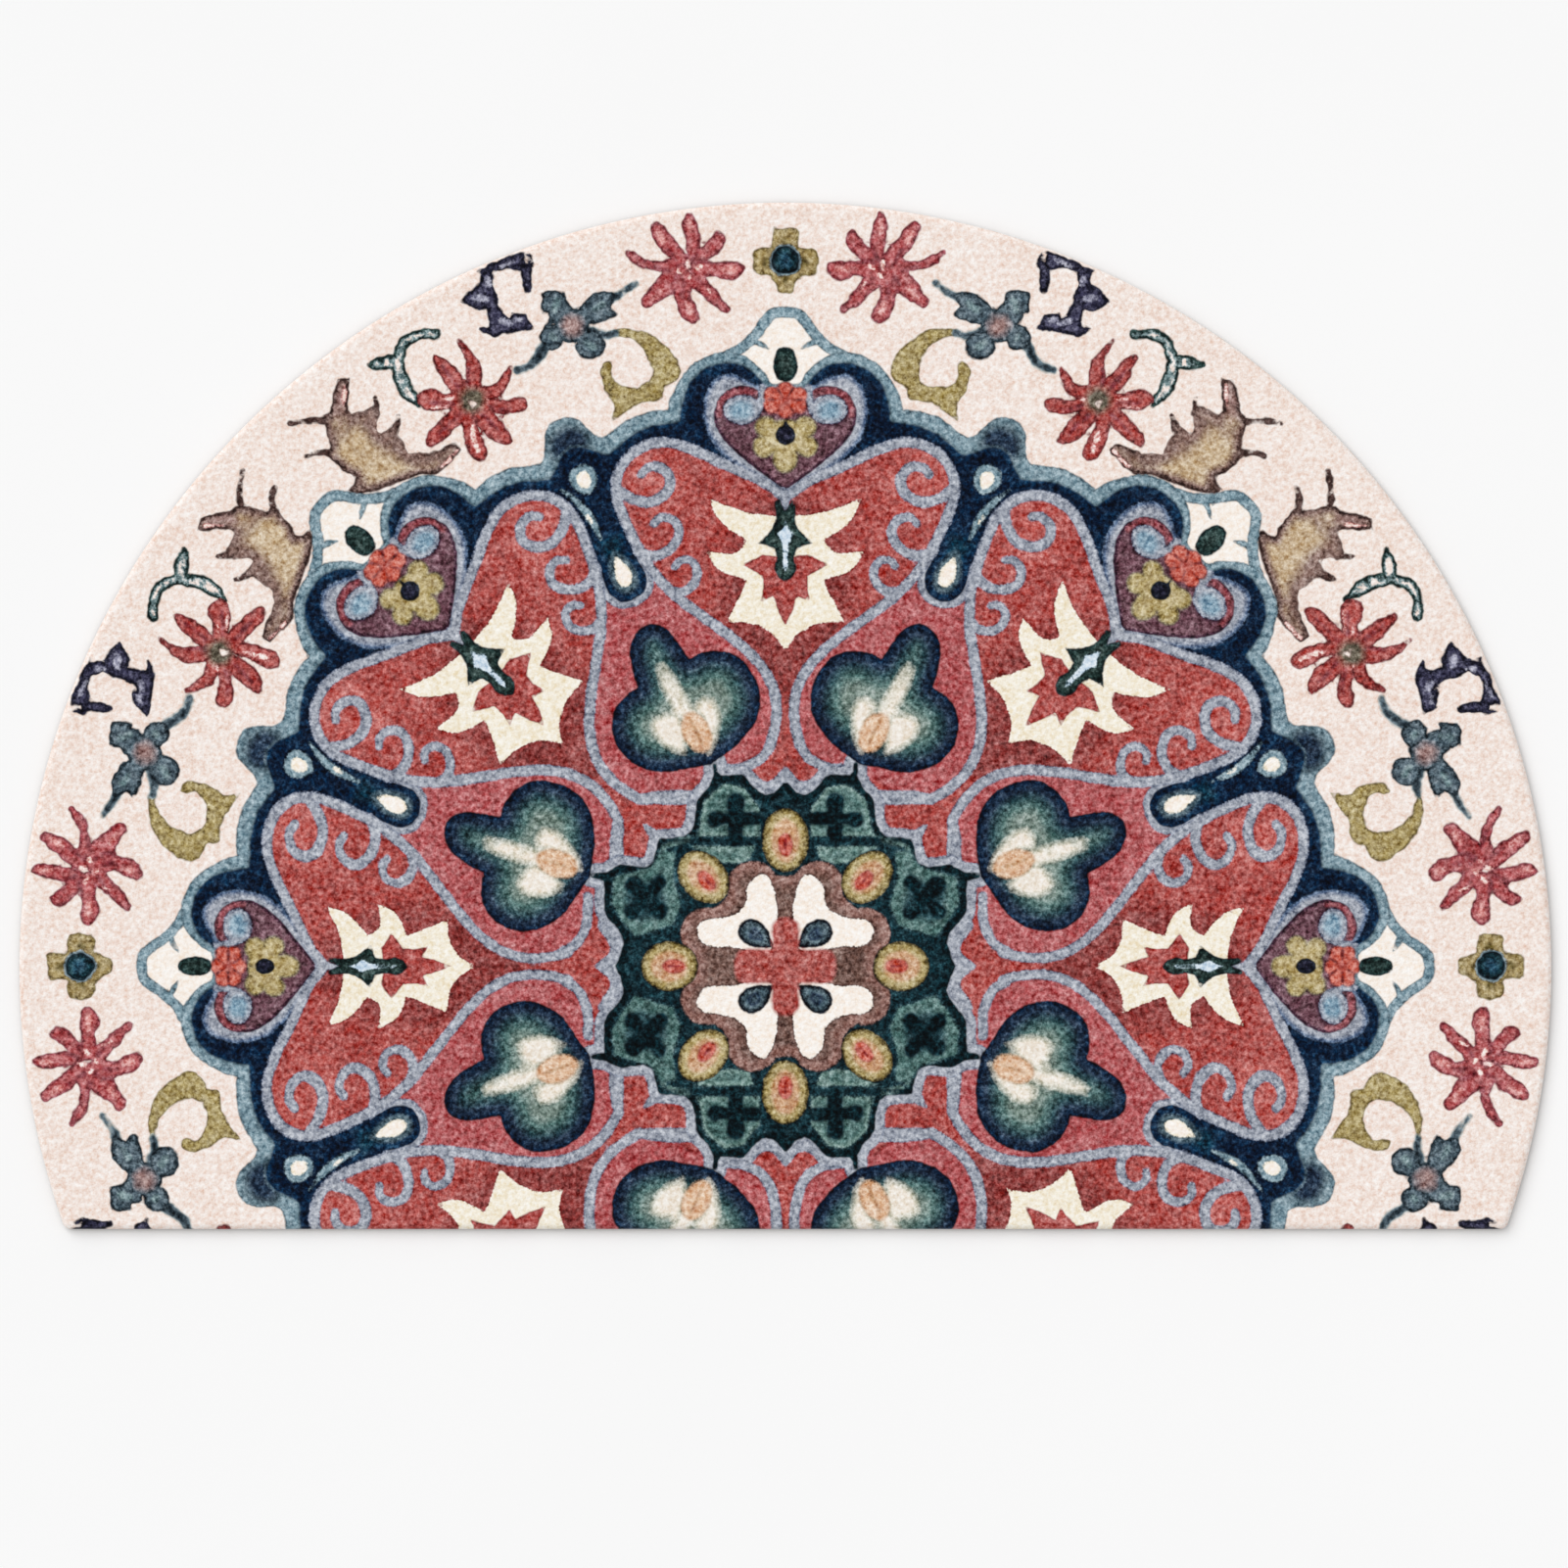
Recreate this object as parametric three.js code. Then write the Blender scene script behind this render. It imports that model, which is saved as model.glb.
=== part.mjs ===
// Half-round doormat: one flat piece of low pile, cut as a disc with one side taken off straight.
// Millimetres, +Z up. The origin is the middle of the underside's bounding box, with the straight
// edge towards -Y and the round edge towards +Y.
import * as THREE from "three";

// Driving dimensions
const WIDTH = 900; // across the disc, so twice its radius
const DEPTH = 603; // from the straight edge to the top of the round edge
const THICKNESS = 8; // backing and pile together
const CORNER_RADIUS = 5; // where the straight edge meets the round one
const ROLL_HEIGHT = 4; // the pile falls away over this height at the cut edge
const ROLL_INSET = 3.5; // and over this width

// How finely the curves are divided
const ROUND_STEPS = 112;
const CORNER_STEPS = 4;
const ROLL_STEPS = 4;

// Derived places
const RADIUS = WIDTH / 2;
const STRAIGHT_Y = -DEPTH / 2;
const CENTRE_Y = DEPTH / 2 - RADIUS; // the disc's centre, which is also the middle of its medallion
const QUARTER_TURN = Math.PI / 2;

// Points along an arc, with its last point left to the next stretch of the outline.
function arcPoints(x, y, radius, fromAngle, toAngle, steps) {
  const arc = new THREE.EllipseCurve(x, y, radius, radius, fromAngle, toAngle, false, 0);
  return arc.getPoints(steps).slice(0, steps);
}

// The mat's outline drawn in by an inset, counterclockwise from the right-hand corner.
// Every inset has the same number of points, so two outlines can be joined point by point.
function outlineAt(inset) {
  const radius = RADIUS - inset;
  const cornerRadius = CORNER_RADIUS - inset;
  const cornerY = STRAIGHT_Y + CORNER_RADIUS;
  const cornerX = Math.sqrt((RADIUS - CORNER_RADIUS) ** 2 - (cornerY - CENTRE_Y) ** 2);
  const tangentAngle = Math.atan2(cornerY - CENTRE_Y, cornerX);
  const leftAngle = Math.PI - tangentAngle;
  return [
    ...arcPoints(0, CENTRE_Y, radius, tangentAngle, leftAngle, ROUND_STEPS),
    ...arcPoints(-cornerX, cornerY, cornerRadius, leftAngle, 3 * QUARTER_TURN, CORNER_STEPS),
    new THREE.Vector2(-cornerX, STRAIGHT_Y + inset),
    ...arcPoints(cornerX, cornerY, cornerRadius, -QUARTER_TURN, tangentAngle, CORNER_STEPS),
  ];
}

// The edge from the floor up: a square-cut side, then a quarter of an ellipse where the pile rolls over.
function edgeRows() {
  const rows = [{ height: 0, inset: 0 }];
  for (let step = 0; step <= ROLL_STEPS; step += 1) {
    const angle = (QUARTER_TURN * step) / ROLL_STEPS;
    rows.push({
      height: THICKNESS - ROLL_HEIGHT * (1 - Math.sin(angle)),
      inset: ROLL_INSET * (1 - Math.cos(angle)),
    });
  }
  return rows;
}

// A closed solid through the rows, with flat faces under the first and over the last.
function matGeometry(rows) {
  const rings = rows.map(({ height, inset }) =>
    outlineAt(inset).map((point) => new THREE.Vector3(point.x, point.y, height)),
  );
  const count = rings[0].length;
  const triangles = [];
  const bottom = rings[0];
  const top = rings[rings.length - 1];
  const bottomMiddle = new THREE.Vector3(0, 0, rows[0].height);
  const topMiddle = new THREE.Vector3(0, 0, rows[rows.length - 1].height);
  for (let i = 0; i < count; i += 1) {
    const next = (i + 1) % count;
    triangles.push(bottomMiddle, bottom[next], bottom[i]);
    triangles.push(topMiddle, top[i], top[next]);
    for (let row = 0; row + 1 < rings.length; row += 1) {
      const lower = rings[row];
      const upper = rings[row + 1];
      triangles.push(lower[i], lower[next], upper[next]);
      triangles.push(lower[i], upper[next], upper[i]);
    }
  }
  const geometry = new THREE.BufferGeometry().setFromPoints(triangles);
  geometry.computeVertexNormals();
  return geometry;
}

const pile = new THREE.MeshStandardMaterial({ color: 0xf1e3dc, roughness: 0.95, metalness: 0 });

const mat = new THREE.Mesh(matGeometry(edgeRows()), pile);
mat.name = "mat";

const doormat = new THREE.Group();
doormat.add(mat);

export default doormat;
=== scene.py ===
import math
from collections import namedtuple

import bpy
import numpy as np
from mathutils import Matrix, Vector, noise
from mathutils.geometry import delaunay_2d_cdt


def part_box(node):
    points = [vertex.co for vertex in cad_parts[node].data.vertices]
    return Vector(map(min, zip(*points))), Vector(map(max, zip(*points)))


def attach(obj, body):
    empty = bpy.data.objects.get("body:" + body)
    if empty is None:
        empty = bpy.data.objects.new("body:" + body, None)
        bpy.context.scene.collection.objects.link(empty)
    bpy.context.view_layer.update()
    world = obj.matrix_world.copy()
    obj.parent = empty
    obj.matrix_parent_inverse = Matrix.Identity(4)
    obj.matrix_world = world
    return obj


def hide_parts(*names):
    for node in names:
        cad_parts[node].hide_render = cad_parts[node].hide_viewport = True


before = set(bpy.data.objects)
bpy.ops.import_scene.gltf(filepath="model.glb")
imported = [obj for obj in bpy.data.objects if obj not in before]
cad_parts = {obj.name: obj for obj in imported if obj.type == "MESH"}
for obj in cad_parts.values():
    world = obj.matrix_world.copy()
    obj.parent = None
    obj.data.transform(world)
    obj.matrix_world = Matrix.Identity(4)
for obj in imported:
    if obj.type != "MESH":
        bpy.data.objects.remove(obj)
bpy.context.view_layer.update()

MM = 0.001
LOW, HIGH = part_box("mat")

# Sizes from the frame, in millimetres
WIDTH = (HIGH[0] - LOW[0]) / MM
DEPTH = (HIGH[1] - LOW[1]) / MM
THICKNESS = (HIGH[2] - LOW[2]) / MM
RADIUS = WIDTH / 2
CENTRE_Y = HIGH[1] / MM - RADIUS  # the disc's centre
STRAIGHT_Y = LOW[1] / MM

# The print sits a little high on the disc, and a little smaller than it is charted
PRINT_CENTRE_Y = CENTRE_Y + 1.4
PRINT_SCALE = 0.995

# It is drawn in at the two side hearts, and most at their leaves and buds, as (across, outward)
SIDE_SCALE = (0.93, 0.984)
SIDE_LEAF_SCALE = (0.79, 0.981)
SIDE_FADE = (0.4, 0.85)  # shares of the way from the heart's axis to the gap
GAP_TURN = 22.5  # degrees from a heart's axis to the gap beside it

# The cut edge
CORNER_RADIUS = 5.0
ROLL_HEIGHT = 4.0
ROLL_INSET = 3.5

# How finely the mat's edge and underside are divided
CUT_LEVELS = (0.0, 1.6, 3.0)
ROLL_STEPS = 6
CORNER_STEPS = 6
EDGE_PITCH = 3.0
UNDER_PITCH = 24.0

# The pile's face has a fine lattice. All of its points are kept within one band along the edges of the
# dyes, every second one within a wider band, and every fourth one elsewhere. Soft edges don't count.
FINE_PITCH = 1.5
FINE_BAND = 0.85
MIDDLE_BAND = 3.6
SOFT_EDGE = 1.5

# The pile's unevenness: broad swells and tufts, as (size, height, layer of the noise)
NAP = ((31.0, 0.12, 0.3), (5.2, 0.16, 7.1))

# Where the faces lie in the layout for baking
PILE_CORNER = (0.01, 0.335)
PILE_WIDTH = 0.98
UNDER_CORNER = (0.01, 0.01)
UNDER_WIDTH = 0.46
SIDE_CORNER = (0.5, 0.02)
SIDE_WIDTH = 0.48
SIDE_RISE = 0.02  # for each millimetre of the cut side's height

# Dye distances are kept within these limits
DEEPEST = 30.0
FURTHEST = -6.0

# The print is coloured in zones, the border and then rings of the medallion, each with only the dyes
# that come within reach of it. An edge wavers by more in the border.
ZONES = ("border", "hearts", "lobes", "tulips", "middle")
ZONE_RADII = (268.0, 192.0, 100.0)
REACH = 4.5
WAVER = (3.4, 1.5, 1.5, 1.5, 1.5)
CUT_SIDE, UNDERSIDE = len(ZONES), len(ZONES) + 1

# Colours of the dyes, as display values from 0 to 255
PALETTE = {
    "ground": (243, 229, 221), "white": (249, 241, 233), "cream": (244, 236, 219),
    "linen": (239, 231, 220), "ice": (208, 222, 234),
    "ink": (15, 23, 31), "night": (9, 9, 19), "navy": (15, 42, 69), "navy_dark": (8, 28, 52),
    "petrol": (46, 84, 106), "deep_teal": (16, 50, 68), "dusk": (36, 52, 72),
    "slate": (131, 155, 166), "slate_dark": (86, 106, 116), "slate_shade": (34, 46, 54),
    "flower_slate": (86, 102, 112), "flower_pale": (126, 148, 151), "steel": (92, 112, 142),
    "sky": (136, 164, 182), "periwinkle": (163, 168, 179), "periwinkle_dark": (120, 129, 149),
    "brick": (172, 83, 79), "brick_dark": (138, 48, 50), "brick_deep": (144, 69, 67),
    "brick_pale": (187, 99, 94), "coral": (197, 104, 91), "dusty_red": (174, 92, 87),
    "red": (173, 86, 82), "red_dark": (120, 52, 53),
    "rose": (178, 95, 97), "rose_dark": (133, 65, 72), "rose_pale": (226, 164, 160),
    "pink": (156, 126, 122), "plum": (110, 76, 86), "plum_red": (150, 80, 86), "plum_dark": (62, 36, 52),
    "indigo": (68, 67, 90), "indigo_dark": (28, 28, 44), "indigo_pale": (170, 170, 188),
    "khaki": (166, 147, 103), "olive": (172, 155, 107), "olive_dark": (112, 98, 58),
    "olive_pale": (188, 171, 127), "moss": (112, 104, 90),
    "bottle": (30, 50, 48), "bottle_light": (47, 64, 61), "forest": (17, 44, 52),
    "forest_dark": (5, 26, 32), "teal": (48, 76, 82), "panel": (86, 117, 114),
    "panel_pale": (114, 142, 136), "sage": (125, 142, 134),
    "kernel": (224, 190, 161), "tan": (204, 164, 131), "tan_dark": (186, 146, 110),
    "leaf": (199, 176, 145), "leaf_brown": (140, 114, 106), "clay": (146, 110, 102),
    "brown": (114, 87, 79), "brown_dark": (74, 52, 50), "umber": (72, 52, 48),
}

# A dye's tones name the colour at its edge, then a depth inside the edge and the colour there, and so on.
# Its edge fades over twice its softness, and it can be kept within another dye.
Dye = namedtuple("Dye", "name tones shapes soft within", defaults=(0.5, None))
Shape = namedtuple("Shape", "fold field path grow")


# Drawing tools. A point is (across, outward) in a fold of the print, and a brush point adds a half-width.


def smooth(points, closed=False, steps=6):
    """A smooth line through a few points."""
    knots = np.asarray(points, float)
    if closed:
        run = np.vstack([knots[-1:], knots, knots[:2]])
    else:
        run = np.vstack([2 * knots[0] - knots[1], knots, 2 * knots[-1] - knots[-2]])
    before, start, end, after = (run[first:len(run) - 3 + first, None] for first in range(4))
    t = np.linspace(0, 1, steps, endpoint=False)[None, :, None]
    line = start + t / 2 * (
        end - before
        + t * (2 * before - 5 * start + 4 * end - after)
        + t * t * (3 * start - before - 3 * end + after)
    )
    line = line.reshape(-1, knots.shape[1])
    return line if closed else np.vstack([line, knots[-1:]])


def runs(first, *others):
    """One outline from smooth runs that meet at sharp corners, each going on from the last one's end."""
    path = smooth(first)
    for line in others:
        path = np.vstack([path[:-1], smooth([path[-1], *line])])
    return path


def both_sides(half):
    """A closed outline from its half on the positive side of the axis."""
    half = np.asarray(half, float)
    return np.vstack([half, half[::-1] * (-1, 1)])


def four_sides(quarter):
    """A closed outline from the quarter of it that lies between two axes."""
    quarter = np.asarray(quarter, float)
    return both_sides(np.vstack([quarter, quarter[::-1] * (1, -1)]))


def cos_sin(degrees):
    return math.cos(math.radians(degrees)), math.sin(math.radians(degrees))


def oval(across, outward, half_width, half_length, turn=0.0, sides=28):
    """An ellipse whose length lies outward, turned clockwise by some degrees."""
    angle = np.arange(sides) * 2 * math.pi / sides
    x = half_width * np.sin(angle)
    y = half_length * np.cos(angle)
    c, s = cos_sin(turn)
    return np.stack([across + x * c + y * s, outward - x * s + y * c], axis=1)


def placed(points, at):
    """Points charted from a motif's centre, put where the motif lies. A half-width stays as it is."""
    points = np.asarray(points, float)
    return points + (*at, 0)[:points.shape[1]]


def patch(*outlines, at=(0, 0), grow=0.0, fold=None):
    """Closed outlines, each grown by a margin all round."""
    return [Shape(fold, patch_field, placed(outline, at), grow) for outline in outlines]


def brush(*strokes, at=(0, 0), grow=0.0, fold=None):
    """Smooth strokes, each grown by a margin all round."""
    return [Shape(fold, brush_field, smooth(placed(stroke, at), steps=5), grow) for stroke in strokes]


def charted(fold, *motifs):
    """The dyes of some motifs, with the fold of every shape that doesn't name its own."""
    return [
        dye._replace(shapes=[shape._replace(fold=shape.fold or fold) for shape in dye.shapes])
        for motif in motifs for dye in motif()
    ]


def brush_field(at, path):
    """How far inside a brush stroke each point lies."""
    field = np.full(len(at), FURTHEST)
    for a, b in zip(path[:-1], path[1:]):
        along = b[:2] - a[:2]
        t = np.clip((at - a[:2]) @ along / max(along @ along, 1e-9), 0, 1)
        gap = at - a[:2] - t[:, None] * along
        field = np.maximum(field, a[2] + t * (b[2] - a[2]) - np.hypot(gap[:, 0], gap[:, 1]))
    return field


def patch_field(at, path):
    """How far inside a closed outline each point lies."""
    nearest = np.full(len(at), 1e9)
    inside = np.zeros(len(at), bool)
    for a, b in zip(path, np.roll(path, -1, axis=0)):
        along = b - a
        gap = at - a
        t = np.clip(gap @ along / max(along @ along, 1e-9), 0, 1)
        nearest = np.minimum(nearest, ((gap - t[:, None] * along) ** 2).sum(axis=1))
        if a[1] != b[1]:
            crosses = (a[1] > at[:, 1]) != (b[1] > at[:, 1])
            inside ^= crosses & (gap[:, 0] < gap[:, 1] * along[0] / along[1])
    return np.where(inside, 1, -1) * np.sqrt(nearest)


def folded(points):
    """The points in each fold of the print's symmetry, as (across, outward)."""
    x, y = np.abs((points - (0, PRINT_CENTRE_Y)) / PRINT_SCALE).T
    radius = np.hypot(x, y)
    angle = np.arctan2(x, y)  # from the outward axis, 0 to 90 degrees
    eighth = math.pi / 4
    from_heart = np.abs((angle + eighth / 2) % eighth - eighth / 2)
    in_sector = np.where(angle > eighth, angle - eighth, angle)
    at_angle = {
        "heart": from_heart,
        "gap": eighth / 2 - from_heart,
        "border": np.minimum(angle, 2 * eighth - angle),
        "diagonal": np.abs(angle - eighth),
        "sector": in_sector,
        "tulip": eighth / 2 - in_sector,
        "quadrant": angle,
    }
    folds = {
        name: np.stack([radius * np.sin(a), radius * np.cos(a)], axis=1) for name, a in at_angle.items()
    }
    at_side = (angle > 1.5 * eighth)[:, None]
    start, end = SIDE_FADE
    share = np.clip((end - 2 * from_heart / eighth) / (end - start), 0, 1)[:, None]
    share = share**2 * (3 - 2 * share) * at_side
    folds["leaf"] = np.where(at_side, folds["heart"] / SIDE_LEAF_SCALE, folds["heart"])
    folds["heart"] *= 1 + share * (1 / np.asarray(SIDE_SCALE) - 1)
    return folds


def dye_field(folds, dye):
    """How far inside any of a dye's shapes each point lies."""
    count = len(folds["heart"])
    field = np.full(count, FURTHEST)
    for shape in dye.shapes:
        at = folds[shape.fold]
        margin = shape.grow - FURTHEST
        if shape.field is brush_field:
            margin += shape.path[:, 2].max()
        low = shape.path[:, :2].min(axis=0) - margin
        high = shape.path[:, :2].max(axis=0) + margin
        near = np.flatnonzero(((at > low) & (at < high)).all(axis=1))
        inside = shape.field(at[near], shape.path) + shape.grow
        field[near] = np.maximum(field[near], inside)
    return np.minimum(field, DEEPEST)


# The border: small motifs on the ground, alike in every eighth of the disc


def square_flower():
    centre = (0, 416.4)
    half = [
        (0, 19.2), (6.6, 19.2), (7.9, 17.4), (7.9, 8.4), (9, 7.4), (15.6, 7.4), (18.6, 5.4), (19.6, -1),
        (18.6, -7), (14.4, -9.2), (8.8, -8.8), (7.8, -11.6), (6, -14), (4.8, -18.4), (3.4, -19.6),
        (0, -19.6),
    ]
    return [
        Dye("square_flower", "olive_dark 2.2 khaki 4.4 khaki 6.6 olive_dark",
            patch(both_sides(half), at=centre)),
        Dye("square_ring", "moss 1.2 slate", patch(oval(*centre, 9.8, 9.8))),
        Dye("square_dot", "ink 2.6 forest 6 petrol", patch(oval(*centre, 8.5, 8.5))),
    ]


def daisies():
    rose_centre = (56.9, 411.7)
    rose = brush(
        [(-3.4, 8, 3.6), (-2, 18.5, 3.8), (-0.3, 26, 3.4), (-0.5, 31.4, 1)],
        [(5, 6, 4), (12.3, 13.9, 4.3), (16.9, 20.5, 3.8), (19.5, 24.4, 2.6)],
        [(8, 2, 5), (17, 1.4, 2.3), (25.2, 2.4, 2.1), (31.3, 5.8, 2.1), (36, 9.4, 0.8)],
        [(7, -4, 7.4), (15, -11, 5.4), (20, -15.5, 4), (24.4, -19.2, 3.2)],
        [(4, -6, 6.4), (3.6, -17, 3.8), (0.4, -25, 4.6), (-2.4, -28.6, 3.2)],
        [(-4, -6, 4.6), (-10.5, -12.6, 3.4), (-14.4, -17, 3.3), (-22, -24, 1.4)],
        [(-6, -0.5, 4.6), (-17.5, -0.3, 3.4), (-24, -1.6, 4.9), (-28.4, -0.2, 3.6)],
        [(-5, 5, 4), (-13, 11.4, 3.6), (-17.2, 16.4, 3.6), (-17.2, 21, 1)],
        at=rose_centre, grow=0.9,
    )
    rose_veins = brush(
        [(6.4, 1.6, 1.3), (9.6, 7.4, 0.9), (13, 11.6, 0.7)],
        [(-1.6, 4.6, 1.1), (-4.6, 9, 0.9), (-5.4, 14, 0.7)],
        [(-5, 3.4, 1.2), (-9.4, 4.6, 1.4), (-13.6, 3.6, 0.8)],
        [(6, -4, 1.5), (8.6, -8.4, 1.6), (9.6, -14, 0.9)],
        [(3, -8, 1), (4, -13.6, 1.5), (3, -18, 0.7)],
        [(-4, -6, 1.1), (-8, -8.8, 1), (-12.6, -12, 0.8)],
        [(12, -1.4, 1.1), (17, 0.2, 1), (23, 1.6, 0.7)],
        at=rose_centre,
    )
    rose_light = brush(
        [(15, 16, 1.6), (18, 21, 1.2)],
        [(-0.3, 22, 1), (-0.3, 28, 0.8)],
        [(1, -21, 1.2), (-0.8, -26, 1.6)],
        [(-20, -0.6, 1), (-26, -0.8, 2)],
        [(16, -13, 0.9), (21, -17.4, 1.2)],
        at=rose_centre,
    )
    red_centre = (184.8, 334)
    red = brush(
        [(-0.6, 5, 5), (-1.2, 18, 4.2), (1.2, 25.2, 2.8), (4.1, 29.6, 1.6), (8.4, 35.2, 0.7)],
        [(5, 5, 5), (13, 14.5, 4.7), (18.2, 21.4, 3.2), (21.6, 25.4, 1.5)],
        [(7, -0.6, 4), (18, -0.8, 4.8), (24.6, 0.3, 6.2), (30.4, -0.2, 1.6)],
        [(6, -6, 5), (15.4, -15.6, 4.7), (21, -21, 4.6), (24.4, -24.6, 2.6)],
        [(3, -8, 3.4), (0.6, -20, 4.4), (-3.6, -29, 5.2), (-5, -32, 3.6)],
        [(-5, -7, 4.6), (-12, -15.6, 5.8), (-18, -21, 4.2), (-22.6, -23.6, 1.2)],
        [(-7, -2, 4), (-19, -4.2, 3.6), (-25, -3.2, 4.4), (-28.6, -2.4, 3.6)],
        [(-5, 3, 4.6), (-14.6, 6.2, 3.6), (-19.4, 12.6, 2.6), (-21.9, 18.2, 1.5)],
        at=red_centre, grow=0.5,
    )
    red_veins = brush(
        [(2, 8, 1.2), (2.6, 14, 1), (1.6, 19, 0.7)],
        [(8, 8, 1.3), (13.4, 14.6, 1.1), (17.6, 20, 0.7)],
        [(11, -2.2, 0.9), (19, -2, 1.2), (25, -1.6, 0.8)],
        [(7, -8, 1.1), (14, -14.6, 1), (20, -20.6, 0.7)],
        [(-6, -9, 1.2), (-12, -14, 1.1), (-17, -19.6, 0.7)],
        [(-10, -3.4, 1.1), (-17, -5.4, 1.1), (-23, -4.8, 0.7)],
        at=red_centre,
    )
    pale = brush(
        [(1, 4.2, 1.3), (0.8, 0.6, 1)],
        [(-7.2, 1.2, 1.5), (-4.6, -0.4, 1.1)],
        [(-1.4, -4.2, 1.5), (-0.2, -5.4, 1.1)],
        [(6, -1.2, 1.3), (4.6, -2.4, 0.9)],
        [(-10, -8.6, 0.5), (-12.4, -14, 0.8)],
        at=rose_centre,
    ) + brush(
        [(0.4, -15, 0.8), (-1, -22, 1.5), (-3.4, -30, 1.4)],
        [(17, 1, 0.7), (11, 0.6, 0.5)],
        [(-8, 1.4, 0.8), (-10, 0, 0.6)],
        [(24, -4.6, 0.5), (14, -4.2, 0.6)],
        at=red_centre,
    )
    middle = patch(oval(*red_centre, 7.6, 7.6))
    return [
        Dye("daisy_rose", "rose_dark 0.8 rose_dark 2.2 rose", rose),
        Dye("daisy_light", "rose_pale", rose_light, soft=1.1, within="daisy_rose"),
        Dye("daisy_red", "red_dark 0.8 red_dark 2.2 red", red),
        Dye("daisy_veins", "rose_dark", rose_veins + red_veins, soft=0.9),
        Dye("daisy_middle", "moss", middle, soft=2.6, within="daisy_red"),
        Dye("daisy_pale", "rose_pale 0.9 ground", pale),
    ]


def hook():
    path = runs(
        [(102.3, 375.2), (91.2, 375.9), (82.8, 374.5), (71.7, 367.6), (62.6, 355), (63.3, 346.7),
         (71.7, 341.1)],
        [(73.8, 334.1), (84.2, 332.7), (92.6, 327.9), (102.3, 321.3)],
        [(101.6, 331.3), (106.5, 339.7), (109.3, 349.5), (107.6, 355), (103, 357.1)],
        [(101.6, 353), (102.3, 348.1), (98.1, 343.2), (88.4, 341.4), (80.7, 343.9)],
        [(78.6, 350.8), (82.1, 361.3), (88.4, 368.3), (95.4, 371.5), (102.3, 372.4)],
    )
    return [Dye("hook", "olive_dark 1.8 olive", patch(path))]


def slate_flower():
    centre = (125.9, 377.9)
    upper_petal = [
        (17.2, 18.4), (13, 19.8), (5, 19.4), (4.2, 14), (0, 10.4), (-3, 6), (6, 0), (12.6, 3), (13.8, 9),
        (17, 8.4),
    ]
    wing = [
        (-4, 8), (-8.2, 13.3), (-12.8, 17.5), (-18.5, 19.2), (-24.6, 18), (-23.6, 14.9), (-21.6, 10.8),
        (-25.7, 6.7), (-23.6, 5.1), (-17.5, 3.1), (-11, 2), (-4, 0),
    ]
    rounds = [(0, 0, 9.4), (11.3, -6.7, 6.9), (-10.8, -11.6, 7.9)]
    petals = patch(upper_petal, wing, at=centre, grow=1.2)
    petals += patch(*(oval(x, y, r, r) for x, y, r in rounds), at=centre, grow=1)
    stems = brush(
        [(15, -10, 3.2), (20, -18.5, 2.9), (24.6, -23.6, 2.6), (32.3, -26.4, 2)],
        [(-23, 16, 2.6), (-30.3, 19.8, 2.1), (-37.4, 25.2, 1.5)],
        [(-9, -2, 1.8), (-17.5, -5.6, 2.4), (-25, -4.4, 2)],
        at=centre, grow=0.3,
    )
    pale = brush(
        [(9, 14.4, 1.8), (10.4, 9, 1.2)],
        [(11.6, -6, 1.6), (10, -7.4, 1.2)],
        [(-9, -10, 1.6), (-12.4, -12.6, 2)],
        [(-13, 9.6, 1.2), (-18, 13, 1.4)],
        at=centre,
    )
    return [
        Dye("slate_stems", "flower_pale 1 flower_slate 2.4 slate_shade", stems, soft=0.8),
        Dye("slate_flower", "slate_shade 1 slate_shade 2.6 flower_slate", petals),
        Dye("slate_flower_pale", "flower_pale", pale, soft=1.4, within="slate_flower"),
        Dye("slate_flower_middle", "pink", patch(oval(*centre, 6.2, 6.2)), soft=2.6, within="slate_flower"),
    ]


def bracket():
    top_bar = [
        (181.8, 410.1), (172, 415), (160, 420), (154.6, 421.2), (153.6, 411), (157.1, 410.8), (164, 412),
        (171.5, 410), (175, 405),
    ]
    bulge = [
        (179.7, 402.4), (186.4, 398.3), (191.3, 392.4), (186.9, 389.5), (180.7, 387), (175, 388),
        (173.6, 396),
    ]
    base = [
        (180.2, 376.2), (175.1, 376.7), (173.6, 383), (166.4, 384.4), (162.3, 381.8), (161.8, 385.4),
        (153, 384), (150.5, 379.8), (148.4, 376.7), (156.1, 374.7), (166.4, 373.1), (172, 371.6),
        (176.6, 373.6),
    ]
    shapes = patch(top_bar, bulge, base, grow=0.5) + brush(
        [(151.2, 419.4, 1), (150, 414, 1.6)],
        [(153, 412, 3), (152.8, 405, 2.6), (152, 399, 1.9)],
        [(176, 407, 3.8), (176.6, 401.9, 2.9), (174, 395.7, 3.6), (173, 389.5, 3.5), (170.5, 383, 4.4)],
        grow=0.5,
    )
    pale = brush(
        [(184, 394.6, 0.8), (180, 394.4, 2.2), (176.5, 393.6, 1)],
        [(167.5, 381, 1.4), (163, 379, 1.2)],
        [(159, 381.6, 1), (156, 381, 0.8)],
        [(160, 416.4, 1), (168, 412.6, 0.6)],
        [(175.6, 406, 1.2), (175, 402, 0.8)],
    )
    return [
        Dye("bracket", "indigo_dark 1.4 indigo_dark 3 indigo", shapes),
        Dye("bracket_pale", "indigo_pale", pale, soft=1, within="bracket"),
    ]


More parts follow.
